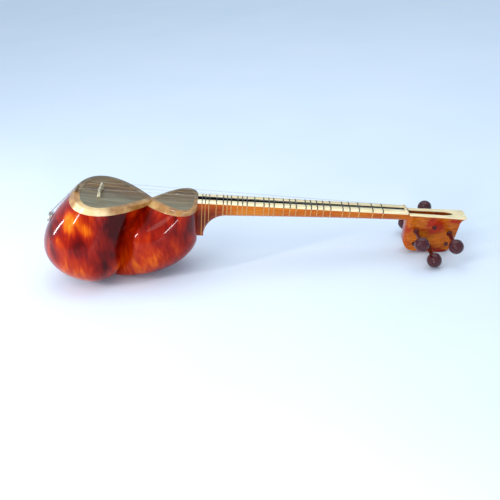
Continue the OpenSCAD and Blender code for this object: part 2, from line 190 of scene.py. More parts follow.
def lathe(profile, segments):
    """Points (r, h) turned about the z axis; the first and last lie on the axis."""
    verts = []
    inner = profile[1:-1]
    for r, h in inner:
        for k in range(segments):
            a = math.tau * k / segments
            verts.append((r * math.cos(a), r * math.sin(a), h))
    faces = tube_faces(len(inner), segments, cap=False)
    for end, row in ((profile[0], 0), (profile[-1], len(inner) - 1)):
        verts.append((0, 0, end[1]))
        tip = len(verts) - 1
        for k in range(segments):
            faces.append((tip, row * segments + k, row * segments + (k + 1) % segments))
    return verts, faces


def from_above(u, v, w):
    return u, v, w


def from_side(u, v, w):
    return u, w, v


def extruded(outline, depth, at):
    """A prism: outline (u, v) carried from -depth/2 to depth/2; `at` maps (u, v, w) to a point."""
    n = len(outline)
    verts = [at(u, v, -depth / 2) for u, v in outline] + [at(u, v, depth / 2) for u, v in outline]
    faces = [tuple(range(n)), tuple(range(n, 2 * n))]
    faces += [(i, (i + 1) % n, n + (i + 1) % n, n + i) for i in range(n)]
    return verts, faces


def apply_modifiers(obj):
    bpy.context.view_layer.update()
    depsgraph = bpy.context.evaluated_depsgraph_get()
    done = bpy.data.meshes.new_from_object(obj.evaluated_get(depsgraph))
    old = obj.data
    obj.modifiers.clear()
    obj.data = done
    bpy.data.meshes.remove(old)


def bevel(obj, width, segments=3, angle=30):
    """Rounds every edge sharper than `angle` degrees."""
    modifier = obj.modifiers.new("edge", "BEVEL")
    modifier.width = width * MM
    modifier.segments = segments
    modifier.limit_method = "ANGLE"
    modifier.angle_limit = math.radians(angle)
    apply_modifiers(obj)


def combine(obj, other, operation):
    """Exact boolean of two closed meshes; the second object is used up."""
    modifier = obj.modifiers.new("cut", "BOOLEAN")
    modifier.operation = operation
    modifier.solver = "EXACT"
    modifier.object = other
    apply_modifiers(obj)
    data = other.data
    bpy.data.objects.remove(other)
    bpy.data.meshes.remove(data)


MERGE = 2e-6  # points closer than this (m) become one


def slice_off(obj, point, normal):
    """Cuts a closed mesh by a plane, takes away the side the normal points to and closes it.

    Points that fall together are merged, and faces of more than four corners become triangles.
    """
    bm = bmesh.new()
    bm.from_mesh(obj.data)
    cut = bmesh.ops.bisect_plane(bm, geom=bm.verts[:] + bm.edges[:] + bm.faces[:], dist=1e-7,
                                 plane_co=point, plane_no=normal, clear_outer=True)
    edges = [e for e in cut["geom_cut"] if isinstance(e, bmesh.types.BMEdge)]
    if edges:
        bmesh.ops.holes_fill(bm, edges=edges, sides=0)
    bmesh.ops.remove_doubles(bm, verts=bm.verts, dist=MERGE)
    bmesh.ops.dissolve_degenerate(bm, edges=bm.edges, dist=MERGE)
    bmesh.ops.triangulate(bm, faces=[face for face in bm.faces if len(face.verts) > 4])
    bmesh.ops.recalc_face_normals(bm, faces=bm.faces)
    bm.to_mesh(obj.data)
    bm.free()


# -------------------------------- material helpers
def rgb(code):
    """A '#rrggbb' screen colour as linear RGBA."""
    values = [int(code[i:i + 2], 16) / 255 for i in (1, 3, 5)]
    linear = [v / 12.92 if v <= 0.04045 else ((v + 0.055) / 1.055) ** 2.4 for v in values]
    return (*linear, 1.0)


class Nodes:
    """A small wrapper for building one material's node tree."""

    def __init__(self, name):
        self.material = bpy.data.materials.new(name)
        self.material.use_nodes = True
        self.tree = self.material.node_tree
        self.shader = self.tree.nodes["Principled BSDF"]
        self.place = self.add("ShaderNodeTexCoord").outputs["Object"]

    def add(self, kind, **settings):
        node = self.tree.nodes.new(kind)
        for key, value in settings.items():
            setattr(node, key, value)
        return node

    def join(self, a, b):
        self.tree.links.new(a, b)

    def put(self, socket, value):
        """Links a socket to another, or sets it to a plain value."""
        if isinstance(value, bpy.types.NodeSocket):
            self.join(value, socket)
        else:
            socket.default_value = value

    def mapped(self, scale, turn=(0, 0, 0)):
        """The point's place, turned by degrees about x, y and z and scaled."""
        node = self.add("ShaderNodeMapping")
        self.join(self.place, node.inputs["Vector"])
        node.inputs["Scale"].default_value = scale
        node.inputs["Rotation"].default_value = [math.radians(a) for a in turn]
        return node.outputs["Vector"]

    def noise(self, vector, scale, detail=4, roughness=0.5, distortion=0.0):
        node = self.add("ShaderNodeTexNoise")
        self.join(vector, node.inputs["Vector"])
        for key, value in (("Scale", scale), ("Detail", detail), ("Roughness", roughness),
                           ("Distortion", distortion)):
            node.inputs[key].default_value = value
        return node.outputs["Fac"]

    def wave(self, vector, scale, distortion, detail):
        node = self.add("ShaderNodeTexWave")
        self.join(vector, node.inputs["Vector"])
        for key, value in (("Scale", scale), ("Distortion", distortion), ("Detail", detail)):
            node.inputs[key].default_value = value
        return node.outputs["Fac"]

    def ramp(self, factor, stops):
        node = self.add("ShaderNodeValToRGB")
        self.join(factor, node.inputs["Fac"])
        elements = node.color_ramp.elements
        while len(elements) < len(stops):
            elements.new(0.5)
        for element, (at, colour) in zip(elements, stops):
            element.position = at
            element.color = rgb(colour)
        return node.outputs["Color"]

    def math(self, kind, a, b=0.0, clamp=False):
        node = self.add("ShaderNodeMath", operation=kind, use_clamp=clamp)
        self.put(node.inputs[0], a)
        self.put(node.inputs[1], b)
        return node.outputs["Value"]

    def blend(self, factor, a, b, kind="MIX"):
        node = self.add("ShaderNodeMix", data_type="RGBA", blend_type=kind)
        self.put(node.inputs["Factor"], factor)
        self.join(a, node.inputs["A"])
        self.join(b, node.inputs["B"])
        return node.outputs["Result"]

    def fade(self, value, start, end, low=0.0, high=1.0, kind="LINEAR"):
        """`low` where value is at start, `high` where it is at end."""
        node = self.add("ShaderNodeMapRange", interpolation_type=kind)
        self.join(value, node.inputs["Value"])
        for key, number in (("From Min", start), ("From Max", end), ("To Min", low),
                            ("To Max", high)):
            node.inputs[key].default_value = number
        return node.outputs["Result"]

    def across(self, reach):
        """0 on the near side, 1 on the far side, fading within `reach` metres of the middle."""
        split = self.add("ShaderNodeSeparateXYZ")
        self.join(self.place, split.inputs["Vector"])
        return self.fade(split.outputs["Y"], -reach, reach)

    def patch(self, centre, radius, inner=0.2):
        """1 near a point of the instrument's frame (mm), fading to 0 at radius."""
        node = self.add("ShaderNodeVectorMath", operation="DISTANCE")
        self.join(self.place, node.inputs[0])
        node.inputs[1].default_value = REST @ Vector(centre)
        return self.fade(node.outputs["Value"], radius * inner * MM, radius * MM, 1.0, 0.0,
                         "SMOOTHSTEP")

    def paint_light_and_shade(self, figure, kind, patches):
        """Paints light (ADD) or shade (SUBTRACT) into the figure in each (centre, radius, amount).
        """
        for centre, radius, amount in patches:
            spot = self.math("MULTIPLY", self.patch(centre, radius), amount)
            figure = self.math(kind, figure, spot)
        return figure

    def bump(self, height, strength, distance):
        node = self.add("ShaderNodeBump")
        self.join(height, node.inputs["Height"])
        node.inputs["Strength"].default_value = strength
        node.inputs["Distance"].default_value = distance
        self.join(node.outputs["Normal"], self.shader.inputs["Normal"])

    def done(self, colour, roughness, **sockets):
        self.join(colour, self.shader.inputs["Base Color"])
        self.put(self.shader.inputs["Roughness"], roughness)
        for key, value in sockets.items():
            self.shader.inputs[key.replace("_", " ")].default_value = value
        return self.material


# -------------------------------- materials
def lacquered_bowl():
    m = Nodes("flamed_mulberry")
    clouds = m.noise(m.mapped((1.5, 1, 0.8), (0, 10, 0)), 13, 2, 0.45, 0.8)
    flames = m.noise(m.mapped((2.0, 1, 0.55), (0, 12, 0)), 30, 3, 0.5, 1.2)
    figure = m.math("ADD", m.math("MULTIPLY", clouds, 0.62), m.math("MULTIPLY", flames, 0.46))
    figure = m.math("SUBTRACT", figure, 0.08)
    # Painted light and shade over the wood's own flames and clouds: the lighter patches are painted
    # highlights and reflections, the darker ones painted shade, as by the waist's crease and the
    # neck.
    figure = m.paint_light_and_shade(figure, "ADD", [
        ((-722, -78, -38), 36, 0.28), ((-690, -92, -48), 24, 0.20), ((-750, -80, -90), 30, 0.14),
        ((-725, -90, -160), 70, 0.14), ((-590, -80, -150), 75, 0.22),
        ((-530, -85, -125), 60, 0.18), ((-500, -70, -85), 40, 0.08)])
    figure = m.paint_light_and_shade(figure, "SUBTRACT", [
        ((-622, -80, -44), 52, 0.24), ((-640, -100, -115), 52, 0.20), ((-705, -105, -88), 34, 0.12),
        ((-455, -40, -50), 50, 0.16), ((-800, -40, -60), 45, 0.14), ((-570, -60, -40), 36, 0.14)])
    colour = m.ramp(figure, [(0.20, "#3e0200"), (0.36, "#6e0600"), (0.50, "#921600"),
                             (0.62, "#b03000"), (0.76, "#da6400"), (0.95, "#fb9a1c")])
    grain = m.noise(m.mapped((7, 7, 0.8), (0, 14, 0)), 60, 5, 0.6)
    shade = m.ramp(grain, [(0.3, "#8a6050"), (0.62, "#ffffff")])
    colour = m.blend(0.16, colour, shade, "MULTIPLY")
    m.bump(grain, 0.02, 0.0003)
    return m.done(colour, 0.32, Coat_Weight=0.9, Coat_Roughness=0.05, Coat_IOR=1.26,
                  Specular_IOR_Level=0.02)


def drum_skin():
    """Grey on the near side, browner towards the far side: partly painted light, a painted
    reflection on the near side and painted shade on the far side, over the skin's own streaks and
    clouds.
    """
    m = Nodes("lamb_skin")
    streaks = m.noise(m.mapped((1.2, 11, 1), (0, 0, 8)), 9, 6, 0.6, 0.7)
    clouds = m.noise(m.mapped((1, 1.6, 1)), 14, 4, 0.55, 0.3)
    veins = m.noise(m.place, 90, 5, 0.6)
    # Painted shade: the far side is mixed towards the darker brown.
    shade_share = m.math("ADD", m.math("MULTIPLY", m.across(0.03), 0.95),
                  m.math("MULTIPLY", m.math("SUBTRACT", clouds, 0.5), 1.3), clamp=True)
    grey = m.ramp(streaks, [(0.30, "#615c44"), (0.55, "#7a745a"), (0.75, "#948b6e")])
    brown = m.ramp(streaks, [(0.30, "#3e2a0a"), (0.50, "#6a4a1a"), (0.70, "#987338")])
    m.bump(veins, 0.10, 0.0003)
    roughness = m.math("ADD", m.math("MULTIPLY", veins, 0.2), 0.32)
    return m.done(m.blend(shade_share, grey, brown), roughness, Coat_Weight=0.25, Coat_Roughness=0.25,
                  Specular_IOR_Level=0.4)


def binding_leather():
    """Tan, with a painted highlight of cream at the front and painted shade of olive on the far
    side.
    """
    m = Nodes("binding_leather")
    clouds = m.noise(m.place, 30, 5, 0.6, 0.4)
    fine = m.noise(m.place, 220, 4, 0.6)
    tan = m.ramp(clouds, [(0.28, "#7c4e1a"), (0.48, "#a87638"), (0.68, "#c89f60")])
    lit_cream = m.ramp(clouds, [(0.30, "#dcb272"), (0.60, "#f0d29a")])
    shaded_olive = m.ramp(clouds, [(0.28, "#453418"), (0.50, "#68532e"), (0.70, "#87714a")])
    # Painted shade: the far side darkens to olive.
    tan = m.blend(m.across(0.02), tan, shaded_olive)
    # Painted light: a cream highlight at the front, fading back to tan towards the tail.
    front = m.patch((-684, -84, -12), 50, 0.62)
    tail = m.patch((-734, -24, 0), 52, 0.5)
    colour = m.blend(tail, m.blend(front, tan, lit_cream), tan)
    m.bump(fine, 0.12, 0.0002)
    return m.done(colour, 0.34, Coat_Weight=0.3, Coat_Roughness=0.2)


def bone():
    m = Nodes("polished_bone")
    streaks = m.noise(m.mapped((0.35, 6, 6)), 40, 4, 0.5)
    colour = m.ramp(streaks, [(0.3, "#e8cf92"), (0.55, "#f6e3b2"), (0.75, "#fdf1cc")])
    m.bump(streaks, 0.03, 0.0002)
    return m.done(colour, 0.24, Coat_Weight=0.4, Coat_Roughness=0.1, Subsurface_Weight=0.15,
                  Subsurface_Scale=0.002)


def horn(name, dark, middle, light):
    m = Nodes(name)
    clouds = m.noise(m.place, 130, 4, 0.6)
    colour = m.ramp(clouds, [(0.3, dark), (0.55, middle), (0.75, light)])
    m.bump(clouds, 0.05, 0.0002)
    return m.done(colour, 0.35, Coat_Weight=0.2)


def black_wood():
    m = Nodes("black_strip")
    grain = m.noise(m.mapped((0.5, 14, 6)), 60, 4, 0.6)
    colour = m.ramp(grain, [(0.3, "#020202"), (0.7, "#0a0807")])
    m.bump(grain, 0.05, 0.0002)
    return m.done(colour, 0.7, Specular_IOR_Level=0.04)


def neck_wood():
    """Darker where the neck meets the bowl, a little lighter further up."""
    m = Nodes("neck_walnut")
    grain = m.noise(m.mapped((0.6, 8, 8), (0, 8, 0)), 42, 6, 0.62, 0.4)
    clouds = m.noise(m.mapped((1, 2, 2)), 9, 3, 0.5)
    heel = m.patch((-455, -10, -50), 95, 0.1)
    middle = m.patch((-340, -10, -30), 90, 0.1)
    figure = m.math("ADD", m.math("MULTIPLY", grain, 0.5), m.math("MULTIPLY", clouds, 0.6))
    figure = m.math("SUBTRACT", figure, m.math("MULTIPLY", heel, 0.30))
    figure = m.math("ADD", figure, m.math("MULTIPLY", middle, 0.10))
    colour = m.ramp(figure, [(0.20, "#5e1600"), (0.38, "#903402"), (0.52, "#b45406"),
                             (0.70, "#cc7412"), (0.90, "#e0922a")])
    m.bump(grain, 0.04, 0.0003)
    return m.done(colour, 0.35, Coat_Weight=0.7, Coat_Roughness=0.1, Coat_IOR=1.25,
                  Specular_IOR_Level=0.1)


def pegbox_wood():
    m = Nodes("pegbox_wood")
    grain = m.noise(m.mapped((1.4, 8, 8), (0, 12, 0)), 48, 6, 0.62, 0.5)
    patches = m.noise(m.mapped((1, 1, 1.3), (0, 30, 0)), 21, 2, 0.5, 0.4)
    orange = m.ramp(grain, [(0.28, "#8a3a02"), (0.50, "#b85a08"), (0.72, "#d07c1c")])
    red = m.ramp(grain, [(0.30, "#7c1402"), (0.70, "#bd3006")])
    spots = m.ramp(patches, [(0.50, "#000000"), (0.62, "#ffffff")])
    m.bump(grain, 0.05, 0.0003)
    return m.done(m.blend(spots, orange, red), 0.35, Coat_Weight=0.8, Coat_Roughness=0.07,
                  Coat_IOR=1.25, Specular_IOR_Level=0.1)


def peg_wood():
    m = Nodes("peg_rosewood")
    grain = m.noise(m.mapped((5, 1.2, 5)), 70, 6, 0.6, 0.4)
    colour = m.ramp(grain, [(0.25, "#1a0206"), (0.50, "#400a12"), (0.75, "#6c2028")])
    m.bump(grain, 0.05, 0.0003)
    return m.done(colour, 0.3, Coat_Weight=0.9, Coat_Roughness=0.06, Coat_IOR=1.42,
                  Specular_IOR_Level=0.1)


GUT_SHADE_Z, GUT_PALE_Z = -3.6, -5.4  # painted shade above the first, the gut's own pale colour below the second


def gut():
    """Gut: painted shade and reflection darken it over the bone strips; it keeps its own pale amber
    where it crosses the wood of the neck's back.
    """
    m = Nodes("gut")
    twist = m.wave(m.mapped((1, 1, 1), (0, 35, 0)), 700, 1.0, 1)
    # Painted shade and reflection: the gut's top is drawn near black.
    dark = m.ramp(twist, [(0.0, "#17120c"), (1.0, "#3a3022")])
    pale = m.ramp(twist, [(0.0, "#b87834"), (1.0, "#e6b066")])
    up = (REST.to_3x3() @ Vector((0, 0, 1))).normalized()
    zero = up.dot(REST @ Vector((0, 0, 0)))
    height = m.add("ShaderNodeVectorMath", operation="DOT_PRODUCT")
    m.join(m.place, height.inputs[0])
    height.inputs[1].default_value = up
    below = m.fade(height.outputs["Value"], zero + GUT_SHADE_Z * MM, zero + GUT_PALE_Z * MM)
    m.bump(twist, 0.2, 0.0001)
    return m.done(m.blend(below, dark, pale), 0.38, Coat_Weight=0.3)


def metal(name, low, high, roughness):
    m = Nodes(name)
    fine = m.noise(m.mapped((40, 40, 40)), 30, 3, 0.5)
    m.bump(fine, 0.05, 0.0001)
    return m.done(m.ramp(fine, [(0.3, low), (0.7, high)]), roughness, Metallic=1.0)


def floor_paper():
    m = Nodes("floor_paper")
    fine = m.noise(m.place, 3, 3, 0.5)
    colour = m.ramp(fine, [(0.2, "#dce9f8"), (0.8, "#e2edf9")])
    return m.done(colour, 0.75, Specular_IOR_Level=0.2)


BOWL = lacquered_bowl()
SKIN = drum_skin()
BINDING = binding_leather()
BONE = bone()
HORN = horn("pale_horn", "#8f8868", "#c4bd9e", "#e6e1cb")
DARK_HORN = horn("dark_horn", "#4a3a22", "#6e5836", "#8c7650")
BLACK = black_wood()
NECK_WOOD = neck_wood()
BOX_WOOD = pegbox_wood()
PEG_WOOD = peg_wood()
GUT = gut()
STEEL = metal("string_steel", "#8c8a84", "#b5b2aa", 0.4)
BRASS = metal("string_brass", "#8f7444", "#b59a68", 0.4)
HOLDER = metal("holder_steel", "#8f8c86", "#c6c3bb", 0.35)
PIN = metal("pin_brass", "#a87b30", "#d8ab58", 0.3)

# -------------------------------- camera, light and floor
CAMERA_AZ, CAMERA_EL, CAMERA_ROLL = 0.0352, 0.5085, -0.0868  # radians; azimuth 0 is at -y
CAMERA_DISTANCE = 1.6834
CAMERA_TARGET = Vector((-0.0119, 0, 0.0288))
CAMERA_CLIP = 50
FOCAL_PIXELS = 736.1
IMAGE_PIXELS = 500
SENSOR = 36.0
SKY_STRENGTH = 0.82
SKY = [(0.15, (0.46, 0.58, 0.76, 1)), (0.85, (0.84, 0.96, 1.06, 1))]
FLOOR_HALF, FLOOR_Z = 12.0, -0.0003
PINK = (1, 0.93, 0.95)
# Softboxes: name, place, what it points at, width and height (m), power (W), colour
LAMPS = [
    ("key", (-0.9, -1.1, 1.7), (-0.1, 0, 0.1), (0.9, 0.9), 8, (1, 0.97, 0.90)),
    ("top", (0.2, 0.5, 2.6), (0, 0, 0), (3.0, 2.0), 22, (0.97, 0.99, 1)),
    ("window_far_left", (-1.65, 0.24, 0.34), (-0.42, -0.07, 0.15), (0.08, 0.30), 4.0, PINK),
    ("window_left", (-1.27, -0.55, 0.62), (-0.25, -0.07, 0.12), (0.07, 0.36), 6.5, PINK),
    ("window_front", (-0.10, -1.38, 0.34), (-0.17, -0.07, 0.14), (0.12, 0.36), 7.0, PINK),
]


def add_camera():
    data = bpy.data.cameras.new("camera")
    data.sensor_width = SENSOR
    data.lens = FOCAL_PIXELS / IMAGE_PIXELS * SENSOR
    data.clip_end = CAMERA_CLIP
    obj = bpy.data.objects.new("camera", data)
    bpy.context.scene.collection.objects.link(obj)
    right = Vector((math.cos(CAMERA_AZ), math.sin(CAMERA_AZ), 0))
    back = Vector((math.sin(CAMERA_AZ) * math.cos(CAMERA_EL),
                   -math.cos(CAMERA_AZ) * math.cos(CAMERA_EL), math.sin(CAMERA_EL)))
    up = back.cross(right)
    c, s = math.cos(CAMERA_ROLL), math.sin(CAMERA_ROLL)
    axes = Matrix((right * c + up * s, up * c - right * s, back)).transposed()
    place = Matrix.Translation(CAMERA_TARGET + back * CAMERA_DISTANCE)
    obj.matrix_world = place @ axes.to_4x4()
    bpy.context.scene.camera = obj


def add_softbox(name, at, aim, size, power, colour):
    data = bpy.data.lights.new(name, "AREA")
    data.shape = "RECTANGLE"
    data.size, data.size_y = size
    data.energy = power
    data.color = colour
    obj = bpy.data.objects.new(name, data)
    bpy.context.scene.collection.objects.link(obj)
    obj.location = at
    obj.rotation_euler = (Vector(aim) - Vector(at)).to_track_quat("-Z", "Y").to_euler()


def add_world():
    """A sky that is a darker blue low down and paler above."""
    world = bpy.data.worlds.new("studio")
    bpy.context.scene.world = world
    world.use_nodes = True
    nodes, links = world.node_tree.nodes, world.node_tree.links
    background = nodes["Background"]
    background.inputs["Strength"].default_value = SKY_STRENGTH
    split = nodes.new("ShaderNodeSeparateXYZ")
    links.new(nodes.new("ShaderNodeTexCoord").outputs["Generated"], split.inputs["Vector"])
    sky = nodes.new("ShaderNodeValToRGB")
    links.new(split.outputs["Z"], sky.inputs["Fac"])
    for element, (at, colour) in zip(sky.color_ramp.elements, SKY):
        element.position = at
        element.color = colour
    links.new(sky.outputs["Color"], background.inputs["Color"])
    bpy.context.scene.view_settings.view_transform = "Standard"


def add_floor():
    mesh = bpy.data.meshes.new("floor")
    corners = [(x * FLOOR_HALF, y * FLOOR_HALF, 0) for x, y in ((-1, -1), (1, -1), (1, 1), (-1, 1))]
    mesh.from_pydata(corners, [], [(0, 1, 2, 3)])
    floor = bpy.data.objects.new("floor", mesh)
    bpy.context.scene.collection.objects.link(floor)
    floor.data.materials.append(floor_paper())
    floor.location = (0, 0, FLOOR_Z)


add_camera()
add_world()
add_floor()
for lamp in LAMPS:
    add_softbox(*lamp)


# -------------------------------- bowl
def drop(rim, t):
    """An outline's half width at angle t from its narrow end, before it is scaled to size."""
    return (max(0.0, math.sin(t)) ** rim["fullness"]
            * max(0.0, math.sin(t / 2)) ** rim["taper"])


WIDEST = {}


def widest(rim):
    """The largest value of drop(), between 90 and 140 degrees, kept for each shape of rim."""
    shape = rim["taper"], rim["fullness"]
    if shape not in WIDEST:
        WIDEST[shape] = max(drop(rim, math.radians(a)) for a in range(90, 141))
    return WIDEST[shape]


def rim_point(rim, t):
    """(x, y) of a skin's outline at angle t from the end nearest the neck."""
    x = mix(rim["far"], rim["near"], (1 + math.cos(t)) / 2)
    from_tip = min(t, math.tau - t) if rim["pointed"] else abs(math.pi - t)
    y = rim["half"] * drop(rim, from_tip) / widest(rim)
    return x, y if t <= math.pi else -y


def rim_middle(rim):
    return mix(rim["near"], rim["far"], 0.6 if rim["pointed"] else 0.4)


def rise(rim, x):
    """Height of a lobe's flat face over the waist."""
    return (WAIST_X - x) * math.tan(math.radians(rim["slope"]))


def skin_top(x):
    return FACE + rise(LARGE["rim"], x) + SKIN_T


def shrunk(rim, by):
    """A smaller outline of the same kind, pulled in twice as far at its tip."""
    near, far = (2, 1) if rim["pointed"] else (1, 2)
    return dict(rim, near=rim["near"] - near * by, far=rim["far"] + far * by,
                half=rim["half"] - by)


SLIT = 0.03  # half the gap between a strip's two sides where they would meet
TANGENT_STEP = 0.004  # radians


def inset(rim, by, t):
    """The outline's point at t, moved inwards by `by` but never quite to the middle line."""
    x, y = rim_point(rim, t)
    a, b = rim_point(rim, t - TANGENT_STEP), rim_point(rim, t + TANGENT_STEP)
    along = Vector((b[0] - a[0], b[1] - a[1])).normalized()
    inner = y + along.x * by
    return x - along.y * by, inner if inner * y > 0 else math.copysign(SLIT, y)


def belly_x(belly, t, less=0.0):
    length = belly["to_neck"] if math.cos(t) > 0 else belly["to_tail"]
    return belly["x"] + (length - less) * math.cos(t)


def upper_point(lobe, k, t, grow=0.0):
    """A point of the wall: k = 0 at the skin, 1 at the belly; grow moves it outwards."""
    rim, belly = lobe["rim"], lobe["belly"]
    s = math.sin(math.pi / 2 * k)
    rx, ry = rim_point(rim, t)
    grow -= INSIDE * s
    x = mix(rx, belly_x(belly, t), s)
    y = mix(ry, belly["half"] * math.sin(t), s)
    z = -belly["depth"] * k + rise(rim, rx) * (1 - k)
    return x + grow * math.cos(t), y + grow * math.sin(t), z + FACE


def lower_point(lobe, a, t):
    """A point under the belly: a = 0 at the belly, a quarter turn at the bottom."""
    belly, bottom = lobe["belly"], lobe["bottom"]
    c = math.cos(a)
    x = mix(bottom["x"], belly_x(belly, t, INSIDE), c)
    y = (belly["half"] - INSIDE) * math.sin(t) * c
    return x, y, FACE - mix(belly["depth"], bottom["depth"], math.sin(a))


def lobe_mesh(lobe):
    """A closed lobe with a ledge that the skin lies over."""
    around, upper, lower = 224, 26, 30
    rim, bottom = lobe["rim"], lobe["bottom"]
    angles = [math.tau * (i + 0.5) / around for i in range(around)]
    inner = [rim_point(shrunk(rim, RIM_LAND), t) for t in angles]
    ledge = [(x, y, FACE + rise(rim, x)) for x, y in inner]
    rings = [[(x, y, z - RECESS) for x, y, z in ledge], ledge]
    rings += [[upper_point(lobe, j / upper, t) for t in angles] for j in range(upper)]
    rings += [[lower_point(lobe, math.pi / 2 * j / lower, t) for t in angles]
              for j in range(lower)]
    verts = [p for ring in rings for p in ring]
    faces = tube_faces(len(rings), around, cap=False)
    middle = rim_middle(rim)
    ends = [((middle, 0, FACE + rise(rim, middle) - RECESS), 0),
            ((bottom["x"], 0, FACE - bottom["depth"]), len(rings) - 1)]
    for centre, row in ends:
        verts.append(centre)
        tip = len(verts) - 1
        faces += [(tip, row * around + i, row * around + (i + 1) % around)
                  for i in range(around)]
    return verts, faces


def build_bowl():
    bowl = make("bowl", *lobe_mesh(LARGE), BOWL, body=None)
    combine(bowl, make("small_lobe", *lobe_mesh(SMALL), BOWL, body=None), "UNION")
    slice_off(bowl, REST @ Vector((JOINT_X, 0, 0)), ALONG)
    slice_off(bowl, Vector((0, 0, 0)), Vector((0, 0, -1)))
    shade_smooth(bowl.data, 22)
    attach(bowl, ROOT)
    stands_for(bowl, "bowl_lacquer", "bowl_left", "bowl_right")


FOOT_Y, FOOT_SPREAD = 18, 420  # each foot's y, and how wide its dent is (mm squared)
PRESS_TOP, PRESS_UNDER = 1.1, 1.2  # the dent's depth on the skin's top and underside


def build_skin(name, lobe, x_from, x_to):
    """A drum skin: a thin sheet over the rim, pressed down a little by the bridge's feet."""
    around, rows = 160, 26
    rim = lobe["rim"]
    middle = rim_middle(rim)
    top, low = [], []
    for j in range(1, rows + 1):
        s = (j / rows) ** 0.8
        for i in range(around):
            rx, ry = rim_point(rim, math.tau * (i + 0.5) / around)
            x, y = mix(middle, rx, s), ry * s
            z = FACE + rise(rim, x)
            press = sum(math.exp(-((x - BRIDGE_X) ** 2 + (y - side * FOOT_Y) ** 2) / FOOT_SPREAD)
                        for side in (-1, 1))
            top.append((x, y, z + SKIN_T - PRESS_TOP * press * (1 - s ** 4)))
            low.append((x, y, z - PRESS_UNDER * press * (1 - s ** 4) + GAP))
    verts = top + low
    n = rows * around
    faces = tube_faces(rows, around, cap=False)
    faces += [tuple(v + n for v in face) for face in faces]
    edge = (rows - 1) * around
    faces += [(edge + i, edge + (i + 1) % around, n + edge + (i + 1) % around, n + edge + i)
              for i in range(around)]
    centre = FACE + rise(rim, middle)
    verts += [(middle, 0, centre + SKIN_T), (middle, 0, centre + GAP)]
    faces += [(2 * n, i, (i + 1) % around) for i in range(around)]
    faces += [(2 * n + 1, n + i, n + (i + 1) % around) for i in range(around)]
    skin = make(f"{name}_drum_skin", verts, faces, SKIN, body=None)
    slice_off(skin, REST @ Vector((x_from, 0, 0)), -ALONG)
    slice_off(skin, REST @ Vector((x_to, 0, 0)), ALONG)
    shade_smooth(skin.data)
    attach(skin, ROOT)
    stands_for(skin, "skin", f"{name}_skin")


def build_binding(name, lobe):
    """A strip of leather over the skin's edge, rounded where it turns down the bowl."""
    around, rim = 300, lobe["rim"]
    depth = lobe["belly"]["depth"]
    width, down = lobe["strip"]["width"], lobe["strip"]["drop"]
    over, clear = SKIN_T + BINDING_T, 0.05

    def flat(share, height):
        """Over the skin: share = 0 at the strip's inner edge, 1 at the rim."""
        def point(t):
            a, b = inset(rim, width, t), rim_point(rim, t)
            x, y = mix(a[0], b[0], share), mix(a[1], b[1], share)
            return x, y, FACE + height + rise(rim, x)
        return point

    def wall(below, grow, lift=0.0):
        """Down the bowl's side: `below` mm under the rim, `grow` mm out from the wood."""
        def point(t):
            x, y, z = upper_point(lobe, below / depth, t, grow)
            return x, y, z + lift
        return point

    section = [flat(0.0, SKIN_T + clear), flat(0.0, over - 0.25), flat(0.02, over - 0.05),
               flat(0.06, over), flat(0.5, over), flat(0.86, over - 0.04), flat(0.96, over - 0.25)]
    section += [wall(0.0, BINDING_T * math.sin(math.radians(a)),
                     over * math.cos(math.radians(a)) * 0.8) for a in (35, 60, 85)]
    section += [wall(d, BINDING_T) for d in (1.5, 3.5, 5.5, down - 1.5)]
    section += [wall(down - 0.3, BINDING_T - 0.15), wall(down, BINDING_T - 0.5), wall(down, clear)]
    section += [wall(d, clear) for d in (6.0, 4.0, 1.5)] + [wall(0.0, clear, SKIN_T + clear)]
    verts = [point(math.tau * (i + 0.5) / around) for i in range(around) for point in section]
    faces = tube_faces(around, len(section), closed_rows=True)
    strip = make(f"{name}_edge_strip", verts, faces, BINDING, body=None)
    slice_off(strip, REST @ Vector((JOINT_X - GAP, 0, 0)), ALONG)
    shade_smooth(strip.data, 50)
    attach(strip, ROOT)
    stands_for(strip, "binding", f"{name}_binding")


# -------------------------------- neck
NECK_END = 4.0
NECK_START = JOINT_X + 0.05
HEEL_START, HEEL_WALL, HEEL_BOTTOM = -395.0, -446.0, -94.0
NECK_DEPTH_NUT, NECK_DEPTH_HEEL = 20, 34  # under the strips
NUT_H, NUT_R, NUT_HALF, NUT_LENGTH = 2.15, 1, 2.5, 37


def neck_w(x):
    """Half the neck's width."""
    return mix(18.8, 19.6, min(1.0, max(0.0, -x / 450)))


def neck_bottom(x):
    if x >= HEEL_START:
        share = max(0.0, x / HEEL_START) ** 1.3
        return -STRIP_T - mix(NECK_DEPTH_NUT, NECK_DEPTH_HEEL, share)
    if x <= HEEL_WALL:
        return HEEL_BOTTOM
    t = (HEEL_START - x) / (HEEL_START - HEEL_WALL)
    return mix(HEEL_BOTTOM, -STRIP_T - NECK_DEPTH_HEEL, math.sqrt(1 - t * t))


def neck_section(x, grow=0.0, count=48):
    """The half oval of wood under the strips, from the far edge round to the near one."""
    bottom = neck_bottom(x)
    angles = [-math.pi * i / count for i in range(count + 1)]
    return [((neck_w(x) + grow) * math.cos(a),
             -STRIP_T + (-STRIP_T - bottom + grow) * math.sin(a)) for a in angles]


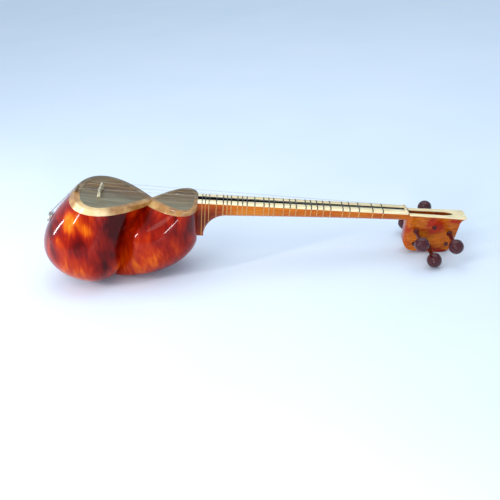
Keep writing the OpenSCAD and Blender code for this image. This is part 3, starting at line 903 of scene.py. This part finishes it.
def build_neck():
    heel, above = 28, 60
    stations = [NECK_START]
    stations += [HEEL_WALL + (HEEL_START - HEEL_WALL) * (1 - math.cos(math.pi / 2 * i / heel))
                 for i in range(heel + 1)]
    stations += [mix(HEEL_START, NECK_END + 3.5, i / above) for i in range(1, above + 1)]
    sections = [neck_section(x) for x in stations]
    verts = [(x, y, z) for x, section in zip(stations, sections) for y, z in section]
    neck = make("neck_back", verts, tube_faces(len(stations), len(sections[0])), NECK_WOOD)
    stands_for(neck, "neck_wood", "neck")

    def strip(name, node, near_y, far_y, material, slot):
        """A strip between two edges; each is its y at the bowl and its y at the nut."""
        round_off = [(0, 0.6), (0.18, 0.18), (0.6, 0)]
        low = -STRIP_T + GAP
        pieces = 40
        rows = []
        for i in range(pieces + 1):
            x = mix(NECK_START, NECK_END - 0.05, i / pieces)
            share = (x - JOINT_X) / (NECK_END - JOINT_X)
            a, b = mix(*near_y, share), mix(*far_y, share)
            rows += [(x, a, low)] + [(x, a + dy, -dz) for dy, dz in round_off]
            rows += [(x, b - dy, -dz) for dy, dz in reversed(round_off)] + [(x, b, low)]
        stands_for(make(name, rows, tube_faces(pieces + 1, 8), material), slot, node)

    strip("bone_near", "bone_strip_right", (-19.6, -18.8), (-8.5, -4), BONE, "bone")
    strip("bone_far", "bone_strip_left", (8.5, 4), (19.6, 18.8), BONE, "bone")
    strip("black_middle", "centre_strip", (-8.47, -3.97), (8.47, 3.97), BLACK, "black_strip")


def build_nut():
    outline = [(-NUT_HALF, 0), (NUT_HALF, 0)]
    outline += arc(NUT_HALF - NUT_R, NUT_H - NUT_R, NUT_R, 0, 90, 6)
    outline += arc(NUT_R - NUT_HALF, NUT_H - NUT_R, NUT_R, 90, 180, 6)
    nut = make("nut_bar", *extruded(outline, NUT_LENGTH, from_side), BONE)
    bevel(nut, 0.3, 2)
    shade_smooth(nut.data, 40)
    stands_for(nut, "bone", "nut")


def fret_path(x, grow):
    """A loop round the neck: over the flat top, round the upper edges and under the back."""
    w = neck_w(x) + grow
    edge = 1.2 + grow
    top = [(w - edge + edge * math.cos(a), -edge + grow + edge * math.sin(a))
           for a in [math.radians(v) for v in (0, 30, 60, 90)]]
    over = [(mix(w - edge, edge - w, i / 10), grow) for i in range(1, 10)]
    left = [(-y, z) for y, z in reversed(top)]
    under = neck_section(x, grow, 36)
    return top + over + left + list(reversed(under))


GUT_R, GUT_CLEAR = 0.28, 0.06
STRAND_PITCH = 1.04  # in strand widths
LAST_WIDE_FRET = 23  # the frets beyond it have one strand fewer
KNOT_Z, KNOT_OUT, KNOT_SWAY = -2.6, 0.5, 0.25
KNOT_RADII = [0.18, 0.55, 0.8, 0.66, 0.82, 0.5, 0.18]


def build_fret(number, cents):
    """A tied fret: turns of gut side by side, with the knot on the far edge of the neck."""
    x = -STRING_LENGTH * (1 - 2 ** (-cents / 1200))
    strands = 4 if number <= LAST_WIDE_FRET else 3
    verts, faces = [], []
    for k in range(strands):
        at = x + (k - (strands - 1) / 2) * 2 * GUT_R * STRAND_PITCH
        points = [(at, y, z) for y, z in fret_path(at, GUT_R + GUT_CLEAR)]
        add_part(verts, faces, sweep(points, GUT_R, 8, closed=True))
    reach = strands * GUT_R + 0.5
    bar = [(x + reach * k / 3, neck_w(x) + KNOT_OUT, KNOT_Z + KNOT_SWAY * math.sin(2.1 * k))
           for k in range(-3, 4)]
    add_part(verts, faces, sweep(bar, GUT_R, radii=KNOT_RADII))
    stands_for(make(f"gut_fret_{number}", verts, faces, GUT), "gut", f"fret_{number}")


# -------------------------------- head
BOX_HALF, CAVITY_HALF = 19.5, 10.0
PLATE_TOP, PLATE_T = -6.0, 2.5
PEG_HOLE_R = 4.75
HANGING_HOLE = arc(HOLE_AT.x, 0, 1.6, 0, 345, 23)
PEGS = []
for joint in RECORD["behaviour"]["joints"]:
    centre = UNREST @ Vector(joint["pos_m"])
    PEGS.append({"number": int(joint["name"].split("_")[1]), "x": centre.x, "z": centre.z,
                 "side": joint["axis"][1], "body": joint["child"]})
PEGS.sort(key=lambda peg: peg["number"])


def shape_with(obj, outline, depth, at, operation="DIFFERENCE"):
    """Cuts an object with a prism, or keeps only what is inside it."""
    combine(obj, make("cutter", *extruded(outline, depth, at), BOX_WOOD, body=None), operation)


def build_pegbox():
    """The side's outline, trimmed to the plan's, then hollowed and drilled."""
    under = PLATE_TOP - PLATE_T - GAP
    side = [(NECK_END + 0.05, under)] + arc(28, -70, 23.95, 180, 270, 16)
    side += arc(90, -69, 24.95, 270, 352, 18) + arc(137, under - 16, 15, 183, 96, 16)
    side += [(135.6, under)]
    box = make("pegbox_body", *extruded(side, 2 * BOX_HALF, from_side), BOX_WOOD, body=None)
    bevel(box, 2.2, 4, 60)
    plan = arc(16, 7.6, 11.9, 90, 180, 12) + arc(16, -7.6, 11.9, 180, 270, 12)
    plan += arc(145, -14, 5.5, 270, 360, 6) + arc(145, 14, 5.5, 0, 90, 6)
    shape_with(box, plan, 260, from_above, "INTERSECT")
    cavity = [(8, 5), (8, -74), (22, -88), (92, -88), (106, -72), (112, -30), (112, 5)]
    shape_with(box, cavity, 2 * CAVITY_HALF, from_side)
    for peg in PEGS:
        shape_with(box, arc(peg["x"], peg["z"], PEG_HOLE_R, 0, 352.5, 47), 60, from_side)
    shape_with(box, HANGING_HOLE, 80, lambda u, v, w: (u, v, w - 20))
    shade_smooth(box.data, 30)
    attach(box, ROOT)
    stands_for(box, "pegbox_wood", "pegbox", "pegbox_crown")


def build_head_plate():
    start, half_start, half_end, r, turn = NECK_END + 0.1, 18.45, 22.45, 6, 129.9
    plan = [(start, -half_start)] + arc(turn, r - half_end, r, -85, 0, 10)
    plan += arc(turn, half_end - r, r, 0, 85, 10) + [(start, half_start)]
    middle = PLATE_TOP - PLATE_T / 2
    solid = extruded(plan, PLATE_T - GAP, lambda u, v, w: (u, v, middle + w))
    plate = make("plate", *solid, BONE, body=None)
    slot = [(8, 8), (8, -8)]
    slot += [(108 - 26 * (1 - math.cos(t)), 9.5 * math.sin(t))
             for t in [math.radians(v) for v in range(-90, 91, 6)]]
    shape_with(plate, slot, 20, from_above)
    shape_with(plate, HANGING_HOLE, 60, from_above)
    bevel(plate, 0.5, 3, 50)
    shade_smooth(plate.data, 40)
    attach(plate, ROOT)
    stands_for(plate, "bone", "head_plate", "crown_plate")


def peg_profile():
    """(radius, height) from the shank's small end, through the collars, to the head's button."""
    half, out, r = BOX_HALF, 84.0, 16.15
    points = [(0, -half - 4.4), (2.4, -half - 4.4), (3.6, -half - 4.0), (4.3, -half - 3.0),
              (4.42, -half - 2)]
    points += [(4.42, half + 0.5), (5.2, half + 1.0), (5.8, half + 1.6), (6.4, half + 3.4),
               (6.5, half + 5), (5.9, half + 6.4), (4.9, half + 7.5), (4.5, half + 9)]
    points += [(4.35, out - 27), (4.6, out - 23.5), (5.4, out - 20.4), (7.6, out - 18.6),
               (8.7, out - 17.6), (9.0, out - 16.6), (8.6, out - 15.6), (7.3, out - 14.9),
               (7.2, out - 14.4)]
    points += arc(0, out, r, -61, -14, 12)
    points += [(r - 0.95, out - 3.2), (r - 1.3, out - 2.2), (r - 0.95, out - 1.2)]
    points += arc(0, out, r, -1, 30, 8)
    points += [(r * 0.83, out + r * 0.50), (r * 0.765, out + r * 0.52),
               (r * 0.765, out + r * 0.57)]
    points += arc(0, out, r, 37, 58, 6)
    points += [(7.4, out + 13.6), (6.6, out + 13.3), (6.2, out + 13.7), (5.9, out + 14.4),
               (4.6, out + 15.2), (2.4, out + 15.45), (0, out + 15.5)]
    return points


def build_peg(peg):
    turn = Matrix.Rotation(math.radians(-90 if peg["side"] > 0 else 90), 4, "X")
    obj = make(f"peg_turned_{peg['number']}", *lathe(peg_profile(), 80), PEG_WOOD,
               body=peg["body"], sharp=40,
               placed=REST @ Matrix.Translation((peg["x"], 0, peg["z"])) @ turn)
    stands_for(obj, "peg_wood", f"peg_{peg['number']}")


# -------------------------------- tail and bridge
# The string holder lies on the bowl's wall, this share of the way from the rim to the belly
HOLDER_SHARE = 0.55
BELLY_RUN = LARGE["rim"]["far"] - (LARGE["belly"]["x"] - LARGE["belly"]["to_tail"])
TAIL_RISE = rise(LARGE["rim"], LARGE["rim"]["far"])
HOLDER_ANGLE = math.atan2(BELLY_RUN * math.pi / 2 * math.cos(math.pi / 2 * HOLDER_SHARE),
                          LARGE["belly"]["depth"] + TAIL_RISE)
HOLDER_X = LARGE["rim"]["far"] - BELLY_RUN * math.sin(math.pi / 2 * HOLDER_SHARE)
HOLDER_Z = FACE + TAIL_RISE * (1 - HOLDER_SHARE) - LARGE["belly"]["depth"] * HOLDER_SHARE
TAIL = (Matrix.Translation((HOLDER_X, 0, HOLDER_Z))
        @ Matrix.Rotation(HOLDER_ANGLE - math.pi / 2, 4, "Y"))
ON_FACE = Matrix.Rotation(math.radians(LARGE["rim"]["slope"]), 4, "Y")
HOOK_UP, HOOK_R, HOLDER_PLATE = 5.0, 0.9, 2.5
PIN_X, PIN_Y = -6, 8


def build_holder():
    outline = arc(-7, -8, 3, 180, 270, 6) + arc(7, -8, 3, 270, 360, 6)
    outline += arc(7, 8, 3, 0, 90, 6) + arc(-7, 8, 3, 90, 180, 6)
    solid = extruded(outline, HOLDER_PLATE - 0.3, lambda u, v, w: (u, v, w + 1.3))
    plate = make("string_plate", *solid, HOLDER, body=None, placed=REST @ TAIL)
    bevel(plate, 0.5)
    shade_smooth(plate.data, 40)
    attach(plate, ROOT)
    verts, faces = [], []
    for y in HOLDER_Y:
        points = [(HOOK_UP, y, HOLDER_PLATE - 0.8), (HOOK_UP, y, 5.6), (HOOK_UP - 0.1, y, 7.2),
                  (HOOK_UP - 0.5, y, 8.0), (HOOK_UP - 1.2, y, 8.3)]
        add_part(verts, faces, sweep(points, 0.7))
    hooks = make("string_hooks", verts, faces, HOLDER, placed=REST @ TAIL)
    stands_for(plate, "holder_metal", "string_holder")
    stands_for(hooks, "holder_metal")
    shank = [(0, 1.0), (1.1, 1.0), (1.1, HOLDER_PLATE)]
    dome = arc(0, HOLDER_PLATE, 2.3, 0, 85, 8) + [(0, 4.8)]
    flattened = [(r, HOLDER_PLATE + (h - HOLDER_PLATE) * 0.6) for r, h in dome]
    for index, y in enumerate((-PIN_Y, PIN_Y)):
        pin = make(f"holder_pin_{index + 1}", *lathe(shank + flattened, 32), PIN,
                   placed=REST @ TAIL @ Matrix.Translation((PIN_X, y, 0)))
        # The record has one node for both pins
        stands_for(pin, "pin_brass", *(["holder_pins"] if index == 0 else []))


def build_saddle():
    half, length = 1.95, 29.8
    outline = [(-half, 0.05), (half, 0.05)] + arc(0, SADDLE_H - 2.0, half, 0, 180, 16)
    seat = Matrix.Translation((SADDLE_X, 0, skin_top(SADDLE_X) + BINDING_T))
    saddle = make("tail_horn", *extruded(outline, length, from_side), DARK_HORN, body=None,
                  placed=REST @ seat @ ON_FACE)
    bevel(saddle, 0.6, 3, 60)
    shade_smooth(saddle.data, 40)
    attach(saddle, ROOT)
    stands_for(saddle, "bone", "tail_saddle")


def build_bridge():
    """A carved bridge: two feet, an arch, a waisted middle and a crown that thins upwards."""
    half, top_half, base, foot = 24.8, 21.8, -0.6, 17
    outline = [(-half, base), (-foot, base)] + arc(-9, base + 0.6, 6.2, 176, 100, 10)
    outline += arc(9, base + 0.6, 6.2, 80, 4, 10) + [(foot, base), (half, base)]
    outline += [(half + 0.1, 2.2), (half - 1.5, 4.4), (top_half + 0.6, 10.5),
                (top_half, BRIDGE_H - 0.8), (top_half - 0.8, BRIDGE_H - 0.1)]
    outline += [(0.8 - top_half, BRIDGE_H - 0.1), (-top_half, BRIDGE_H - 0.8),
                (-top_half - 0.6, 10.5), (1.5 - half, 4.4), (-half - 0.1, 2.2)]

    def thinning(u, v, w):
        return w * mix(1, 0.5, (v - base) / (BRIDGE_H - base)), u, v

    placed = REST @ Matrix.Translation((BRIDGE_X, 0, skin_top(BRIDGE_X))) @ ON_FACE
    bridge = make("bridge_horn", *extruded(outline, 7.6, thinning), HORN, body=None, placed=placed)
    bevel(bridge, 0.5)
    shade_smooth(bridge.data, 40)
    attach(bridge, ROOT)
    stands_for(bridge, "bridge_wood", "bridge")


# -------------------------------- strings
STRING_R = 0.15
BEND = Vector((10, 0, -6.5))  # where the strings turn down into the pegbox
BEND_SHARE = 0.64  # how far apart they are there, against the nut
END_R = 4.5 + 0.7  # from the peg's axis to where the string ends
LONG, PIECES_LONG, PIECES_SHORT = 60, 12, 3  # a stretch over LONG mm is made in more pieces
WINDING_R, TURNS, TURN_STEPS, TURN_PITCH = 4.8, 5, 24, 0.62


def string_points(i):
    """One string's way from its hook to where it meets its peg."""
    peg = PEGS[STRING_PEG[i] - 1]
    to_peg = Vector((peg["x"] - BEND.x, peg["z"] - BEND.z))
    swing = STRING_SIDE[i] * math.asin(END_R / to_peg.length)
    reach = math.sqrt(to_peg.length ** 2 - END_R * END_R)
    a = math.atan2(to_peg.y, to_peg.x) - swing
    hook = TAIL @ Vector((HOOK_UP + HOOK_R + 0.2, HOLDER_Y[i], 6.8))
    saddle = (SADDLE_X - 1, SADDLE_Y[i], skin_top(SADDLE_X) + BINDING_T + SADDLE_H + 0.35)
    crown = ON_FACE @ Vector((0, BRIDGE_Y[i], BRIDGE_H + STRING_R))
    crown += Vector((BRIDGE_X, 0, skin_top(BRIDGE_X)))
    y = NUT_Y[i] * BEND_SHARE
    return [hook, saddle, crown, (0, NUT_Y[i], 2.5), (1.9, NUT_Y[i] * 0.97, 2.45),
            (BEND.x, y, BEND.z), (BEND.x + reach * math.cos(a), y, BEND.z + reach * math.sin(a))]


def build_string(i):
    """A string, which rides on the instrument, and its winding, which rides on the peg."""
    number, peg = i + 1, PEGS[STRING_PEG[i] - 1]
    slot, material = ("steel_string", STEEL)
    if number in BRASS_STRINGS:
        slot, material = ("brass_string", BRASS)
    corners = [Vector(p) for p in string_points(i)]
    points = []
    for p, after in zip(corners, corners[1:]):
        pieces = PIECES_LONG if (after - p).length > LONG else PIECES_SHORT
        points += [p.lerp(after, k / pieces) for k in range(pieces)]
    points.append(corners[-1])
    obj = make(f"wire_{number}", *sweep(points, STRING_R, 8), material)
    stands_for(obj, slot, f"string_{number}")

    start = corners[-1]
    angle = math.atan2(start.z - peg["z"], start.x - peg["x"])
    inwards = -math.copysign(1, start.y)
    coil = []
    for k in range(TURNS * TURN_STEPS + 1):
        a = angle - STRING_SIDE[i] * math.tau * k / TURN_STEPS
        coil.append((peg["x"] + WINDING_R * math.cos(a),
                     start.y + inwards * TURN_PITCH * k / TURN_STEPS,
                     peg["z"] + WINDING_R * math.sin(a)))
    winding = make(f"winding_{number}", *sweep(coil, STRING_R, 6), material, body=peg["body"])
    stands_for(winding, slot)


# -------------------------------- build
build_bowl()
build_skin("large", LARGE, -900, WAIST_X - 0.3)
build_skin("small", SMALL, WAIST_X + 0.3, JOINT_X - GAP)
build_binding("large", LARGE)
build_binding("small", SMALL)
build_neck()
build_nut()
for index, cents in enumerate(FRET_CENTS):
    build_fret(index + 1, cents)
build_pegbox()
build_head_plate()
for peg in PEGS:
    build_peg(peg)
build_holder()
build_saddle()
build_bridge()
for index in range(len(STRING_PEG)):
    build_string(index)
